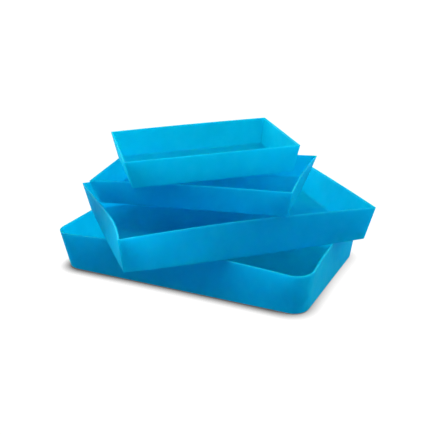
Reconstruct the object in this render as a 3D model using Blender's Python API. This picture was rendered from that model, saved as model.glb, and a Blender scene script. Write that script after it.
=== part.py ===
"""A set of four one-piece silicone soap moulds, stacked crosswise on each other's rims.

Units are metres and +Z is up. The origin is the middle of the underside of the deep
mould at the bottom of the stack, whose long side runs along X and whose front faces -Y.
Each mould is a single open tray of soft silicone: its corners and its floor hold their
shape, and its thin walls lean outwards and bow in or out between the corners.
"""

from dataclasses import dataclass
from math import cos, log, pi, radians, sin

import bmesh
import bpy
from mathutils import Matrix, Vector

# --------------------------------------------------------------------------------------
# Driving dimensions
# --------------------------------------------------------------------------------------


@dataclass(frozen=True)
class Bow:
    """How far a wall's rim has moved in at its deepest point (out when negative)."""

    depth: float
    peak: float = 0.5  # where the deepest point is, as a share of the wall, anticlockwise


@dataclass(frozen=True)
class Mould:
    """One tray, described with its long side along X and its front wall facing -Y."""

    name: str
    length: float  # over the rim, long side
    width: float  # over the rim, short side
    height: float  # underside to rim
    lean: float  # how far each wall comes in from the rim to the underside
    wall: float  # thickness of the walls
    floor: float  # thickness of the floor
    rim_corner: float  # outer corner radius, seen from above, at the rim
    base_corner: float  # the same at the underside
    base_edge: float  # radius of the edge between walls and underside
    floor_fillet: float  # radius between walls and floor, inside
    bows: tuple  # front, right, back and left wall
    turn: float  # degrees about +Z from the deep mould's long side
    colour: tuple  # linear RGB of the silicone


DEEP_SLAB = Mould(
    name="deep_slab_mould",
    length=0.330,
    width=0.195,
    height=0.0495,
    lean=0.0072,
    wall=0.0022,
    floor=0.0030,
    rim_corner=0.0200,
    base_corner=0.0180,
    base_edge=0.0050,
    floor_fillet=0.0040,
    bows=(Bow(0.0109), Bow(0.0049), Bow(0.0003), Bow(0.0009)),
    turn=0.0,
    colour=(0.0, 0.216, 0.464),
)

WIDE_SLAB = Mould(
    name="wide_slab_mould",
    length=0.293,
    width=0.223,
    height=0.0398,
    lean=0.0050,
    wall=0.0020,
    floor=0.0026,
    rim_corner=0.0030,
    base_corner=0.0026,
    base_edge=0.0020,
    floor_fillet=0.0022,
    bows=(Bow(0.0133, peak=0.43), Bow(-0.0017), Bow(-0.0033), Bow(0.0070, peak=0.66)),
    turn=44.6,
    colour=(0.0, 0.231, 0.479),
)

MEDIUM_SLAB = Mould(
    name="medium_slab_mould",
    length=0.241,
    width=0.148,
    height=0.0304,
    lean=0.0066,
    wall=0.0020,
    floor=0.0024,
    rim_corner=0.0020,
    base_corner=0.0014,
    base_edge=0.0012,
    floor_fillet=0.0020,
    bows=(Bow(0.0052, peak=0.42), Bow(0.0025, peak=0.44), Bow(0.0040), Bow(0.0004)),
    turn=10.9,
    colour=(0.0, 0.231, 0.479),
)

SMALL_SLAB = Mould(
    name="small_slab_mould",
    length=0.2034,
    width=0.1359,
    height=0.0337,
    lean=0.0066,
    wall=0.0020,
    floor=0.0024,
    rim_corner=0.0025,
    base_corner=0.0022,
    base_edge=0.0018,
    floor_fillet=0.0020,
    bows=(Bow(0.0005), Bow(-0.0006), Bow(-0.0023), Bow(0.0002)),
    turn=40.7,
    colour=(0.0, 0.262, 0.520),
)

# The stack: the air between an underside and the rims below, and where each mould lies
# on the one below, in that mould's own frame. The medium mould stands with the front
# left corner of its underside on the wide mould's left rim, and the front right corner
# on its front rim, each a little in from the straight line between the rim's corners.
STACK_GAP = 0.0003
WIDE_OFFSET = Vector((0.0130, 0.0031))
LEFT_PERCH = 0.0036
FRONT_PERCH = 0.0094
SMALL_OFFSET = Vector((-0.0055, 0.0055))

INNER_CORNER_MIN = 0.0006  # tightest corner that is left on the inside of a wall
BOW_RISE = 1.3  # power by which a bow grows from the underside to the rim

WALL_STEPS = 8  # segments along a wall
WALL_LEVELS = 4  # segments up a wall
CORNER_STEPS = 4  # segments round a corner
EDGE_STEPS = 3  # segments round the base edge and the floor fillet
SMOOTH_ANGLE = radians(35)  # edges sharper than this stay crisp

SATIN_ROUGHNESS = 0.45
SILICONE_IOR = 1.41

# --------------------------------------------------------------------------------------
# Tray mesh
# --------------------------------------------------------------------------------------

# Walls anticlockwise from the front: the way that each runs, and the way it faces in.
WALLS = (
    (Vector((1, 0)), Vector((0, 1))),
    (Vector((0, 1)), Vector((-1, 0))),
    (Vector((-1, 0)), Vector((0, -1))),
    (Vector((0, -1)), Vector((1, 0))),
)


def bow_share(along, peak):
    """Share of a bow at a point along its wall: nothing at both ends, all at the peak."""
    return sin(pi * along ** (log(0.5) / log(peak)))


def outline(mould, z, inward):
    """Points round the tray at one height, a given distance inside its outer walls."""
    rise = z / mould.height
    inset = mould.lean * (1 - rise) + inward
    half_length = mould.length / 2 - inset
    half_width = mould.width / 2 - inset
    corner = mould.base_corner + (mould.rim_corner - mould.base_corner) * rise - inward
    corner = max(corner, INNER_CORNER_MIN)

    spots = []
    for side, (run, face) in enumerate(WALLS):
        half_run, reach = (half_length, half_width) if side % 2 == 0 else (half_width, half_length)
        straight = half_run - corner
        bow = mould.bows[side]
        for step in range(WALL_STEPS):
            along = step / WALL_STEPS
            sag = bow.depth * bow_share(along, bow.peak) * rise**BOW_RISE
            spots.append(run * straight * (2 * along - 1) + face * (sag - reach))
        for step in range(CORNER_STEPS):
            angle = pi / 2 * step / CORNER_STEPS
            cut = corner * (1 - cos(angle))
            spots.append(run * (straight + corner * sin(angle)) + face * (cut - reach))
    return [spot.to_3d() + Vector((0, 0, z)) for spot in spots]


def rounded_edge(radius):
    """Steps round a quarter circle, from flat to upright, as (way in from the wall, height)."""
    angles = [pi / 2 * step / EDGE_STEPS for step in range(EDGE_STEPS + 1)]
    return [(radius * (1 - sin(angle)), radius * (1 - cos(angle))) for angle in angles]


def tray_profile(mould):
    """The section from underside over rim to floor, as (way in from the outer wall, height)."""
    profile = rounded_edge(mould.base_edge)
    for level in range(1, WALL_LEVELS + 1):
        profile.append((0.0, mould.base_edge + (mould.height - mould.base_edge) * level / WALL_LEVELS))
    foot = mould.floor + mould.floor_fillet
    for level in range(WALL_LEVELS):
        profile.append((mould.wall, mould.height + (foot - mould.height) * level / WALL_LEVELS))
    for inward, height in reversed(rounded_edge(mould.floor_fillet)):
        profile.append((mould.wall + inward, mould.floor + height))
    return profile


def tray_mesh(mould):
    """One closed tray: an underside, rings up the outside and down the inside, and a floor."""
    bm = bmesh.new()
    rings = []
    for inward, z in tray_profile(mould):
        rings.append([bm.verts.new(spot) for spot in outline(mould, z, inward)])
    bm.faces.new(reversed(rings[0]))
    for lower, upper in zip(rings, rings[1:]):
        for here in range(len(lower)):
            there = (here + 1) % len(lower)
            bm.faces.new((lower[here], lower[there], upper[there], upper[here]))
    bm.faces.new(rings[-1])
    bmesh.ops.triangulate(bm, faces=bm.faces)

    mesh = bpy.data.meshes.new(mould.name)
    bm.to_mesh(mesh)
    bm.free()
    mesh.shade_smooth()
    mesh.set_sharp_from_angle(angle=SMOOTH_ANGLE)
    return mesh


def silicone(mould):
    """Satin silicone in the mould's own shade."""
    material = bpy.data.materials.new(mould.name + "_silicone")
    material.use_nodes = True
    shader = material.node_tree.nodes["Principled BSDF"]
    shader.inputs["Base Color"].default_value = (*mould.colour, 1.0)
    shader.inputs["Roughness"].default_value = SATIN_ROUGHNESS
    shader.inputs["Metallic"].default_value = 0.0
    shader.inputs["IOR"].default_value = SILICONE_IOR
    return material


# --------------------------------------------------------------------------------------
# The stack
# --------------------------------------------------------------------------------------


def perched_offset(upper, lower):
    """Where the upper mould's middle lies on the lower one when its two front corners perch."""
    swing = Matrix.Rotation(radians(upper.turn - lower.turn), 2)
    half_length = upper.length / 2 - upper.lean
    half_width = upper.width / 2 - upper.lean
    left_corner = swing @ Vector((-half_length, -half_width))
    right_corner = swing @ Vector((half_length, -half_width))
    x = LEFT_PERCH - lower.length / 2 - left_corner.x
    y = FRONT_PERCH - lower.width / 2 - right_corner.y
    return Vector((x, y))


for old in list(bpy.data.objects):
    bpy.data.objects.remove(old, do_unlink=True)

STACK = (
    (DEEP_SLAB, Vector((0, 0))),
    (WIDE_SLAB, WIDE_OFFSET),
    (MEDIUM_SLAB, perched_offset(MEDIUM_SLAB, WIDE_SLAB)),
    (SMALL_SLAB, SMALL_OFFSET),
)

below = DEEP_SLAB
middle = Vector((0, 0))
underside = 0.0
for mould, offset in STACK:
    middle = middle + Matrix.Rotation(radians(below.turn), 2) @ offset
    tray = bpy.data.objects.new(mould.name, tray_mesh(mould))
    tray.data.materials.append(silicone(mould))
    tray.location = (middle.x, middle.y, underside)
    tray.rotation_euler = (0.0, 0.0, radians(mould.turn))
    bpy.context.collection.objects.link(tray)
    underside += mould.height + STACK_GAP
    below = mould
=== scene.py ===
from math import cos, log, pi, radians, sin

import bmesh
import bpy
from mathutils import Matrix, Vector, noise


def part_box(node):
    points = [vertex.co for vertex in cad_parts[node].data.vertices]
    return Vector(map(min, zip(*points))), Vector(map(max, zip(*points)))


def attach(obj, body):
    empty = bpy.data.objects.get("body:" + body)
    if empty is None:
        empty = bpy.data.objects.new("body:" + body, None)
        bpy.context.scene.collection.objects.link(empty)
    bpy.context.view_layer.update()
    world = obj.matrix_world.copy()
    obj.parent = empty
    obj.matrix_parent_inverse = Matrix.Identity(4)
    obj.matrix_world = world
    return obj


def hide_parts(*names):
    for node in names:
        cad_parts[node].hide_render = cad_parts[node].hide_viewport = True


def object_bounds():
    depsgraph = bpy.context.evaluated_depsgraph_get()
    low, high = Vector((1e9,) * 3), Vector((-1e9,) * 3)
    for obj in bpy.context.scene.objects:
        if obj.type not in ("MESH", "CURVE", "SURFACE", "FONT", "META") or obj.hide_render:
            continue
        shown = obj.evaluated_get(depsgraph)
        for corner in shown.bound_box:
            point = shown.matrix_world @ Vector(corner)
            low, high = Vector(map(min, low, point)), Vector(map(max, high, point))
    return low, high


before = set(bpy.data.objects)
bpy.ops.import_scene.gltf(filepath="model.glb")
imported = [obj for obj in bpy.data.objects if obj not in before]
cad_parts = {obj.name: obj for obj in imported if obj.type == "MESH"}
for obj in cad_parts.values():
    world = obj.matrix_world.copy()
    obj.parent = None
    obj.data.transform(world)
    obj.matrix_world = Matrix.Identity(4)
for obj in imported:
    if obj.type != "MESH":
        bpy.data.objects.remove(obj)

cad_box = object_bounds()
stack_middle = (cad_box[0] + cad_box[1]) / 2


# --------------------------------------------------------------------------------------
# Camera: looks down on the stack from the front right, a little tipped over. It is aimed
# near the middle of the stack, with a fairly long lens and everything in focus.
# --------------------------------------------------------------------------------------

AIM_OFFSET = Vector((0.019, -0.043, 0.0))  # from the middle of the stack
CAMERA_AZIMUTH = radians(27.06)
CAMERA_ELEVATION = radians(21.61)
CAMERA_ROLL = radians(-1.57)
CAMERA_DISTANCE = 0.86
LENS_MM = 61.28

aim = stack_middle + AIM_OFFSET
level_reach = cos(CAMERA_ELEVATION)
backwards = Vector((
    sin(CAMERA_AZIMUTH) * level_reach,
    -cos(CAMERA_AZIMUTH) * level_reach,
    sin(CAMERA_ELEVATION),
))
camera_data = bpy.data.cameras.new("camera")
camera_data.lens = LENS_MM
camera_data.sensor_width = 36.0
camera = bpy.data.objects.new("camera", camera_data)
bpy.context.scene.collection.objects.link(camera)
pointing = backwards.to_track_quat("Z", "Y").to_matrix().to_4x4()
camera.matrix_world = (
    Matrix.Translation(aim + backwards * CAMERA_DISTANCE)
    @ pointing
    @ Matrix.Rotation(CAMERA_ROLL, 4, "Z")
)
bpy.context.scene.camera = camera
bpy.context.scene.view_settings.view_transform = "Standard"


# --------------------------------------------------------------------------------------
# Deep mould: the largest tray, at the bottom of the stack, with wide rounded corners.
# It is one piece of soft translucent silicone, pressed in a closed die. Its thin walls
# lean outwards, stand firm at the corners, and sag inwards between them.
# --------------------------------------------------------------------------------------

WALL_POINTS = 40  # along one wall
CORNER_POINTS = 9  # round one corner
WALL_RINGS = 18  # up one side of a wall
EDGE_RINGS = 6  # round the base edge and the floor fillet
RIM_RINGS = 3  # round each of the rim's two edges
FLOOR_RINGS = 7  # from the fillet to the middle of the floor
TIGHTEST_CORNER = 0.0006
BOW_RISE = 1.3  # a wall bows more towards its rim
CURL_POWER = 2.5  # a corner that curls up takes little of the tray with it
RIM_WEAR_AND_HIGHLIGHT_HEIGHT = 0.0018  # how far down from the rim the paler band runs: partly wear from handling, partly a painted highlight where light catches the rim
RIPPLE_LENGTH = 0.055  # from crest to crest of the slight waves in a soft wall
RIPPLE_RISE = 0.6  # how much the waves change from the foot of a wall to its rim
WALL_SHIFT = 7.3  # keeps the waves of one wall unlike those of the next
BASE_FLATNESS = 1e-5  # points this close to the lowest one belong to the underside
THROUGH_SHARE = 0.58  # the share of light that leaves a wall evenly on its far side
# Colour of the paler rim band: partly wear from handling, partly a painted highlight standing in for
# light on the rim top.
RIM_WEAR_AND_HIGHLIGHT_COLOUR = (0.03, 0.79, 0.97)
DUST_COLOUR = (0.35, 0.62, 0.80)

# The walls run anticlockwise from the front: the way each one runs, and the way it faces in.
WALL_WAYS = {
    "front": (Vector((1, 0)), Vector((0, 1))),
    "right": (Vector((0, 1)), Vector((-1, 0))),
    "back": (Vector((-1, 0)), Vector((0, -1))),
    "left": (Vector((0, -1)), Vector((1, 0))),
}
STRAIGHT_WALL = (0.0, 0.5)  # how far a wall bows in, and how far along it that is most


def ring_points(tray, z, inward):
    """Points round a tray at one height, a given way in from the outside of its walls."""
    rise = z / tray["height"]
    inset = tray["lean"] * (1 - rise) + inward
    half_length = tray["length"] / 2 - inset
    half_width = tray["width"] / 2 - inset
    corner = tray["base_corner"] + (tray["rim_corner"] - tray["base_corner"]) * rise - inward
    corner = max(corner, TIGHTEST_CORNER)
    ring = []
    for side, (name, (run, face)) in enumerate(WALL_WAYS.items()):
        if side % 2 == 0:
            half_run, reach = half_length, half_width
        else:
            half_run, reach = half_width, half_length
        straight = half_run - corner
        depth, peak = tray["bows"].get(name, STRAIGHT_WALL)
        for step in range(WALL_POINTS):
            along = step / WALL_POINTS
            share = sin(pi * along ** (log(0.5) / log(peak)))
            sag = depth * share * rise**BOW_RISE
            spot = Vector((
                side * WALL_SHIFT + tray["seed"],
                along * half_run / RIPPLE_LENGTH,
                rise * RIPPLE_RISE,
            ))
            sag += tray["ripple"] * noise.noise(spot) * sin(pi * along) * rise
            ring.append(run * straight * (2 * along - 1) + face * (sag - reach))
        for step in range(CORNER_POINTS):
            angle = pi / 2 * step / CORNER_POINTS
            cut = corner * (1 - cos(angle))
            ring.append(run * (straight + corner * sin(angle)) + face * (cut - reach))
    return [point.to_3d() + Vector((0, 0, z)) for point in ring]


def quarter_turn(radius, rings):
    """A quarter circle as (way in, height), from flat at the bottom to upright."""
    angles = [pi / 2 * step / rings for step in range(rings + 1)]
    return [(radius * (1 - sin(angle)), radius * (1 - cos(angle))) for angle in angles]


def wall_section(tray):
    """Rings from the underside over the rim to the floor, as (way in, height)."""
    wall, height = tray["wall"], tray["height"]
    base_edge, fillet, rim_edge = tray["base_edge"], tray["fillet"], tray["rim_edge"]
    section = quarter_turn(base_edge, EDGE_RINGS)
    top = height - rim_edge
    for level in range(1, WALL_RINGS + 1):
        section.append((0.0, base_edge + (top - base_edge) * level / WALL_RINGS))
    for step in range(1, RIM_RINGS + 1):
        angle = pi / 2 * step / RIM_RINGS
        section.append((rim_edge * (1 - cos(angle)), top + rim_edge * sin(angle)))
    for step in range(RIM_RINGS + 1):
        angle = pi / 2 * step / RIM_RINGS
        section.append((wall - rim_edge * (1 - sin(angle)), top + rim_edge * cos(angle)))
    foot = tray["floor"] + fillet
    for level in range(1, WALL_RINGS + 1):
        section.append((wall, top + (foot - top) * level / WALL_RINGS))
    for inward, lift in list(reversed(quarter_turn(fillet, EDGE_RINGS)))[1:]:
        section.append((wall + inward, tray["floor"] + lift))
    return section


def close_floor(bm, ring, shrinks):
    """Makes ever smaller copies of a ring towards its middle, which the caller joins with faces and
    closes with one last face.
    """
    middle = sum((vert.co for vert in ring), Vector()) / len(ring)
    rings = [ring]
    for shrink in shrinks:
        rings.append([bm.verts.new(middle.lerp(vert.co, shrink)) for vert in ring])
    return rings


def bridge(bm, lower, upper):
    """One row of faces between two rings of the same count."""
    for here in range(len(lower)):
        there = (here + 1) % len(lower)
        bm.faces.new((lower[here], lower[there], upper[there], upper[here]))


def settle(tray, point):
    """Moves a point with the corners of its tray, which spread, dip and curl on the stack."""
    across = min(max(point.x / tray["length"] + 0.5, 0), 1)
    along = min(max(point.y / tray["width"] + 0.5, 0), 1)
    rise = point.z / tray["height"]
    shares = {
        "front left": (1 - across) * (1 - along),
        "front right": across * (1 - along),
        "back right": across * along,
        "back left": (1 - across) * along,
    }
    shift = Vector()
    for corner, (spread_x, spread_y, rim_lift, curl) in tray["bent_corners"].items():
        share = shares[corner]
        shift += rise * share * Vector((spread_x, spread_y, rim_lift))
        shift.z += share**CURL_POWER * curl
    return point + shift


def press_tray(tray, node, body):
    """Makes the tray, lays it where its CAD node lies, and lets it ride on its body."""
    bm = bmesh.new()
    section = wall_section(tray)
    rings = [[bm.verts.new(point) for point in ring_points(tray, z, inward)] for inward, z in section]
    shrinks = [1 - (step / (FLOOR_RINGS + 1)) for step in range(1, FLOOR_RINGS + 1)]
    under = close_floor(bm, rings[0], shrinks)
    inside = close_floor(bm, rings[-1], shrinks)
    for lower, upper in zip(rings, rings[1:]):
        bridge(bm, lower, upper)
    for outer, inner in zip(under, under[1:]):
        bridge(bm, inner, outer)
    for outer, inner in zip(inside, inside[1:]):
        bridge(bm, outer, inner)
    bm.faces.new(reversed(under[-1]))
    bm.faces.new(inside[-1])
    turn = Matrix.Rotation(radians(tray["turn"]), 3, "Z")
    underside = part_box(node)[0].z
    resting = [
        turn.inverted() @ vert.co
        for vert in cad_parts[node].data.vertices
        if vert.co.z < underside + BASE_FLATNESS
    ]
    middle = Vector([(min(axis) + max(axis)) / 2 for axis in zip(*resting)])
    # The rim attribute masks the band below the rim that is painted paler, partly as wear and partly
    # as a painted highlight.
    nearness = bm.verts.layers.float.new("rim")
    for vert in bm.verts:
        vert[nearness] = max(0.0, 1 - (tray["height"] - vert.co.z) / RIM_WEAR_AND_HIGHLIGHT_HEIGHT)
        vert.co = turn @ (settle(tray, vert.co) + middle)

    mesh = bpy.data.meshes.new(tray["name"])
    bm.to_mesh(mesh)
    bm.free()
    mesh.shade_smooth()
    mesh.materials.append(tray["material"])
    piece = bpy.data.objects.new(tray["name"], mesh)
    bpy.context.scene.collection.objects.link(piece)
    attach(piece, body)
    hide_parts(node)


def blue_silicone(name, colour, seed):
    """Satin silicone that light soaks into, with a dusty bloom, smudges and a paler rim that is
    partly wear and partly a painted highlight.
    """
    material = bpy.data.materials.new(name)
    material.use_nodes = True
    nodes = material.node_tree.nodes
    links = material.node_tree.links
    shader = nodes["Principled BSDF"]
    shader.inputs["IOR"].default_value = 1.15
    shader.inputs["Subsurface Weight"].default_value = 1.0
    shader.inputs["Subsurface Radius"].default_value = (0.03, 0.5, 1.0)
    shader.inputs["Subsurface Scale"].default_value = 0.004
    shader.inputs["Subsurface Anisotropy"].default_value = 0.3
    shader.inputs["Transmission Weight"].default_value = 0.45
    shader.inputs["Specular IOR Level"].default_value = 0.05

    place = nodes.new("ShaderNodeTexCoord")
    shift = nodes.new("ShaderNodeVectorMath")
    shift.operation = "ADD"
    shift.inputs[1].default_value = (seed, seed * 0.7, 0)
    links.new(place.outputs["Object"], shift.inputs[0])

    def clouds(scale, detail, roughness=0.55):
        """Noise at a scale in features per metre."""
        texture = nodes.new("ShaderNodeTexNoise")
        texture.inputs["Scale"].default_value = scale
        texture.inputs["Detail"].default_value = detail
        texture.inputs["Roughness"].default_value = roughness
        links.new(shift.outputs["Vector"], texture.inputs["Vector"])
        return texture.outputs["Fac"]

    def between(value, low, high, to_low, to_high):
        """Spreads a value from one range to another, without going outside it."""
        spread = nodes.new("ShaderNodeMapRange")
        spread.inputs["From Min"].default_value = low
        spread.inputs["From Max"].default_value = high
        spread.inputs["To Min"].default_value = to_low
        spread.inputs["To Max"].default_value = to_high
        links.new(value, spread.inputs["Value"])
        return spread.outputs["Result"]

    def blended(share, first, second):
        """A mix of two colours, each one a socket or a colour."""
        mix = nodes.new("ShaderNodeMix")
        mix.data_type = "RGBA"
        links.new(share, mix.inputs["Factor"])
        for socket, value in ((mix.inputs["A"], first), (mix.inputs["B"], second)):
            if isinstance(value, tuple):
                socket.default_value = (*value, 1.0)
            else:
                links.new(value, socket)
        return mix.outputs["Result"]

    def times(first, second):
        """One value multiplied by another."""
        product = nodes.new("ShaderNodeMath")
        product.operation = "MULTIPLY"
        links.new(first, product.inputs[0])
        links.new(second, product.inputs[1])
        return product.outputs["Value"]

    deeper = tuple(channel * 0.94 for channel in colour)
    paler = (colour[0] + 0.03, colour[1] * 1.12 + 0.02, min(colour[2] * 1.06 + 0.01, 1.0))
    mottle = between(clouds(14, 3), 0.35, 0.65, 0, 1)
    skin = blended(mottle, deeper, colour)
    smudge = between(clouds(70, 4, 0.6), 0.45, 0.75, 0, 0.20)
    skin = blended(smudge, skin, paler)
    # Paler band along the rim: partly wear from handling, partly a painted highlight where light
    # would catch the rim.
    rim = nodes.new("ShaderNodeAttribute")
    rim.attribute_name = "rim"
    rim_wear_and_highlight = times(rim.outputs["Fac"], between(clouds(260, 3), 0.35, 0.7, 0.55, 1.0))
    skin = blended(rim_wear_and_highlight, skin, RIM_WEAR_AND_HIGHLIGHT_COLOUR)
    dust = between(clouds(1700, 2, 0.5), 0.735, 0.80, 0, 0.5)
    skin = blended(dust, skin, DUST_COLOUR)
    links.new(skin, shader.inputs["Base Color"])
    gloss = between(clouds(45, 5, 0.65), 0.3, 0.7, 0.36, 0.50)
    links.new(gloss, shader.inputs["Roughness"])

    grain = nodes.new("ShaderNodeBump")
    grain.inputs["Strength"].default_value = 0.35
    grain.inputs["Distance"].default_value = 0.00012
    links.new(clouds(1100, 4, 0.6), grain.inputs["Height"])
    waves = nodes.new("ShaderNodeBump")
    waves.inputs["Strength"].default_value = 0.5
    waves.inputs["Distance"].default_value = 0.0008
    links.new(clouds(55, 2), waves.inputs["Height"])
    links.new(waves.outputs["Normal"], grain.inputs["Normal"])
    links.new(grain.outputs["Normal"], shader.inputs["Normal"])

    # Light that comes straight through a wall, and leaves it evenly on the other side.
    glow = nodes.new("ShaderNodeBsdfTranslucent")
    links.new(skin, glow.inputs["Color"])
    links.new(grain.outputs["Normal"], glow.inputs["Normal"])
    silicone = nodes.new("ShaderNodeMixShader")
    silicone.inputs["Fac"].default_value = THROUGH_SHARE
    links.new(shader.outputs["BSDF"], silicone.inputs[1])
    links.new(glow.outputs["BSDF"], silicone.inputs[2])
    links.new(silicone.outputs["Shader"], nodes["Material Output"].inputs["Surface"])
    return material


press_tray(
    {
        "name": "deep_tray",
        "length": 0.330,
        "width": 0.195,
        "height": 0.0495,
        "lean": 0.0072,
        "wall": 0.0022,
        "floor": 0.0030,
        "rim_corner": 0.0200,
        "base_corner": 0.0180,
        "base_edge": 0.0026,
        "rim_edge": 0.0006,
        "fillet": 0.0040,
        "bows": {"front": (0.011, 0.5), "right": (0.005, 0.5)},
        "turn": 0.0,
        "seed": 1.0,
        "ripple": 0.0006,
        "bent_corners": {},
        "material": blue_silicone("deep_blue_silicone", (0.0, 0.72, 0.95), 1.0),
    },
    "deep_slab_mould",
    "deep_slab",
)


# --------------------------------------------------------------------------------------
# Wide mould: a broad shallow tray of the same silicone, with nearly square corners.
# It is pressed in one piece, and lies crosswise on the rims of the deep mould. Its front
# left corner has curled up, and its walls have bent between their ends.
# --------------------------------------------------------------------------------------

press_tray(
    {
        "name": "wide_tray",
        "length": 0.293,
        "width": 0.223,
        "height": 0.0398,
        "lean": 0.0050,
        "wall": 0.0020,
        "floor": 0.0026,
        "rim_corner": 0.0012,
        "base_corner": 0.0016,
        "base_edge": 0.0020,
        "rim_edge": 0.0006,
        "fillet": 0.0022,
        "bows": {
            "front": (0.0135, 0.45),
            "right": (-0.0015, 0.5),
            "back": (-0.0035, 0.5),
            "left": (0.007, 0.65),
        },
        "turn": 44.6,
        "seed": 2.0,
        "ripple": 0.0006,
        "bent_corners": {
            "front left": (0.001, 0.001, 0, 0.0065),
            "front right": (0.006, 0.001, -0.0005, 0),
            "back left": (-0.003, -0.0015, -0.0015, 0),
        },
        "material": blue_silicone("wide_blue_silicone", (0.0, 0.69, 0.91), 2.0),
    },
    "wide_slab_mould",
    "wide_slab",
)


# --------------------------------------------------------------------------------------
# Medium mould: a lower tray of the same silicone, pressed in one piece, with walls that
# lean more than those of the wide one. It lies loose across the wide mould's rims.
# --------------------------------------------------------------------------------------

press_tray(
    {
        "name": "medium_tray",
        "length": 0.241,
        "width": 0.148,
        "height": 0.0304,
        "lean": 0.0066,
        "wall": 0.0020,
        "floor": 0.0024,
        "rim_corner": 0.0012,
        "base_corner": 0.0014,
        "base_edge": 0.0012,
        "rim_edge": 0.0006,
        "fillet": 0.0020,
        "bows": {"front": (0.005, 0.4), "right": (0.0025, 0.45), "back": (0.004, 0.5)},
        "turn": 10.9,
        "seed": 3.0,
        "ripple": 0.0005,
        "bent_corners": {
            "front left": (0, 0, -0.0015, 0),
            "front right": (0, 0, 0.001, 0),
            "back right": (0.0045, 0, -0.001, 0),
        },
        "material": blue_silicone("medium_blue_silicone", (0.0, 0.68, 0.90), 3.0),
    },
    "medium_slab_mould",
    "medium_slab",
)


# --------------------------------------------------------------------------------------
# Small mould: the top tray, of the same silicone and also pressed in one piece. It lies
# loose across the long rims of the medium mould, and is the straightest of the four.
# --------------------------------------------------------------------------------------

press_tray(
    {
        "name": "small_tray",
        "length": 0.2034,
        "width": 0.1359,
        "height": 0.0337,
        "lean": 0.0066,
        "wall": 0.0020,
        "floor": 0.0024,
        "rim_corner": 0.0012,
        "base_corner": 0.0016,
        "base_edge": 0.0018,
        "rim_edge": 0.0006,
        "fillet": 0.0020,
        "bows": {"back": (-0.0025, 0.5)},
        "turn": 40.7,
        "seed": 4.0,
        "ripple": 0.0004,
        "bent_corners": {
            "front left": (-0.0015, 0, 0, 0),
            "back right": (0, 0, 0.001, 0),
        },
        "material": blue_silicone("small_blue_silicone", (0.0, 0.68, 0.86), 4.0),
    },
    "small_slab_mould",
    "small_slab",
)


# --------------------------------------------------------------------------------------
# Studio: a broad sheet of white acrylic, which is lit from inside, and darkens only where
# the stack stands close over it. Large soft lights stand low on both sides and behind.
# --------------------------------------------------------------------------------------

SHEET_SPAN = 30.0
STUDIO_WHITE = 1.06
CONTACT_REACH = 0.016  # how far out from the stack its contact shadow goes
MOST_COVERED = 0.45  # open share of the sky at which the contact shadow is deepest
LEAST_COVERED = 0.97  # open share of the sky at which there is no contact shadow
WASH_WAY = (0.94, 0.34, 0.0)  # the side on which light washes out the contact shadow
WASH_START = 0.07
WASH_END = 0.14
WASH_SHARE = 0.62


def white_sheet(name, brightness, darkest, drop):
    """A level sheet that glows evenly, apart from a soft contact shadow round the stack."""
    bm = bmesh.new()
    bmesh.ops.create_grid(bm, x_segments=2, y_segments=2, size=SHEET_SPAN / 2)
    mesh = bpy.data.meshes.new(name)
    bm.to_mesh(mesh)
    bm.free()
    sheet = bpy.data.objects.new(name, mesh)
    sheet.location = (stack_middle.x, stack_middle.y, cad_box[0].z - drop)
    bpy.context.scene.collection.objects.link(sheet)
    paint = bpy.data.materials.new(name + "_acrylic")
    paint.use_nodes = True
    nodes = paint.node_tree.nodes
    links = paint.node_tree.links
    nodes.remove(nodes["Principled BSDF"])
    contact = nodes.new("ShaderNodeAmbientOcclusion")
    contact.samples = 16
    contact.inputs["Distance"].default_value = CONTACT_REACH
    # The low light on the right washes out the shadow on that side.
    place = nodes.new("ShaderNodeTexCoord")
    sideways = nodes.new("ShaderNodeVectorMath")
    sideways.operation = "DOT_PRODUCT"
    sideways.inputs[1].default_value = WASH_WAY
    links.new(place.outputs["Object"], sideways.inputs[0])
    wash = nodes.new("ShaderNodeMapRange")
    wash.inputs["From Min"].default_value = WASH_START
    wash.inputs["From Max"].default_value = WASH_END
    wash.inputs["To Max"].default_value = WASH_SHARE
    links.new(sideways.outputs["Value"], wash.inputs["Value"])
    washed = nodes.new("ShaderNodeMix")
    links.new(wash.outputs["Result"], washed.inputs["Factor"])
    links.new(contact.outputs["AO"], washed.inputs["A"])
    washed.inputs["B"].default_value = 1.0
    shade = nodes.new("ShaderNodeMapRange")
    shade.inputs["From Min"].default_value = MOST_COVERED
    shade.inputs["From Max"].default_value = LEAST_COVERED
    shade.inputs["To Min"].default_value = brightness * darkest
    shade.inputs["To Max"].default_value = brightness
    links.new(washed.outputs["Result"], shade.inputs["Value"])
    glow = nodes.new("ShaderNodeEmission")
    links.new(shade.outputs["Result"], glow.inputs["Strength"])
    links.new(glow.outputs["Emission"], nodes["Material Output"].inputs["Surface"])
    mesh.materials.append(paint)
    sheet.visible_shadow = False
    return sheet


studio_floor = white_sheet("studio_floor", STUDIO_WHITE, 0.10, 0.0)
studio_floor.visible_diffuse = False
studio_floor.visible_transmission = False
studio_floor.visible_glossy = False
bounce_card = white_sheet("bounce_card", 0.38, 0.60, 0.0004)
bounce_card.visible_camera = False

# A round white backdrop stands beyond the floor's edge, with its foot below the floor.
BACKDROP_RADIUS = 24.0
BACKDROP_FOOT = -4.0
BACKDROP_TOP = 12.0

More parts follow.
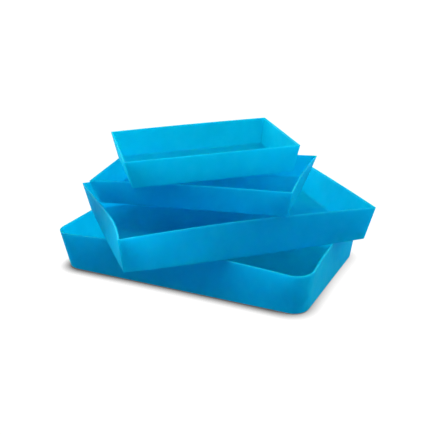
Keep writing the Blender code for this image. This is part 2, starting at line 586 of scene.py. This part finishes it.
bm = bmesh.new()
foot = bmesh.ops.create_circle(bm, segments=64, radius=BACKDROP_RADIUS)["verts"]
for vert in foot:
    vert.co.z = BACKDROP_FOOT
raised = bmesh.ops.extrude_edge_only(bm, edges=bm.edges[:])["geom"]
for vert in raised:
    if isinstance(vert, bmesh.types.BMVert):
        vert.co.z = BACKDROP_TOP
backdrop_mesh = bpy.data.meshes.new("studio_backdrop")
bm.to_mesh(backdrop_mesh)
bm.free()
studio_backdrop = bpy.data.objects.new("studio_backdrop", backdrop_mesh)
studio_backdrop.location = (stack_middle.x, stack_middle.y, 0.0)
bpy.context.scene.collection.objects.link(studio_backdrop)
backdrop_white = bpy.data.materials.new("studio_backdrop_white")
backdrop_white.use_nodes = True
backdrop_nodes = backdrop_white.node_tree.nodes
backdrop_nodes.remove(backdrop_nodes["Principled BSDF"])
backdrop_glow = backdrop_nodes.new("ShaderNodeEmission")
backdrop_glow.inputs["Strength"].default_value = STUDIO_WHITE
backdrop_white.node_tree.links.new(
    backdrop_glow.outputs["Emission"],
    backdrop_nodes["Material Output"].inputs["Surface"],
)
backdrop_mesh.materials.append(backdrop_white)
studio_backdrop.visible_diffuse = False
studio_backdrop.visible_glossy = False
studio_backdrop.visible_transmission = False
studio_backdrop.visible_shadow = False


SOFTBOX_SPREAD = radians(60)


def soft_sun(name, way, strength):
    """Even soft light from one way, as from a very large softbox far off."""
    data = bpy.data.lights.new(name, "SUN")
    data.angle = SOFTBOX_SPREAD
    data.energy = strength
    lamp = bpy.data.objects.new(name, data)
    bpy.context.scene.collection.objects.link(lamp)
    lamp.location = stack_middle + Vector(way)
    lamp.rotation_euler = Vector(way).to_track_quat("Z", "Y").to_euler()


soft_sun("left_back_light", (-0.919, 0.298, 0.259), 3.1)
soft_sun("right_back_light", (0.298, 0.919, 0.259), 1.0)
soft_sun("left_light", (-0.860, -0.439, 0.259), 0.7)
soft_sun("right_light", (0.860, 0.439, 0.259), 1.7)
soft_sun("right_high_light", (0.60, 0.25, 0.76), 1.7)
soft_sun("top_light", (0.0, 0.0, 1.0), 1.6)

world = bpy.data.worlds.new("studio_dark")
world.use_nodes = True
world.node_tree.nodes["Background"].inputs["Color"].default_value = (1, 1, 1, 1)
world.node_tree.nodes["Background"].inputs["Strength"].default_value = 0.03
bpy.context.scene.world = world
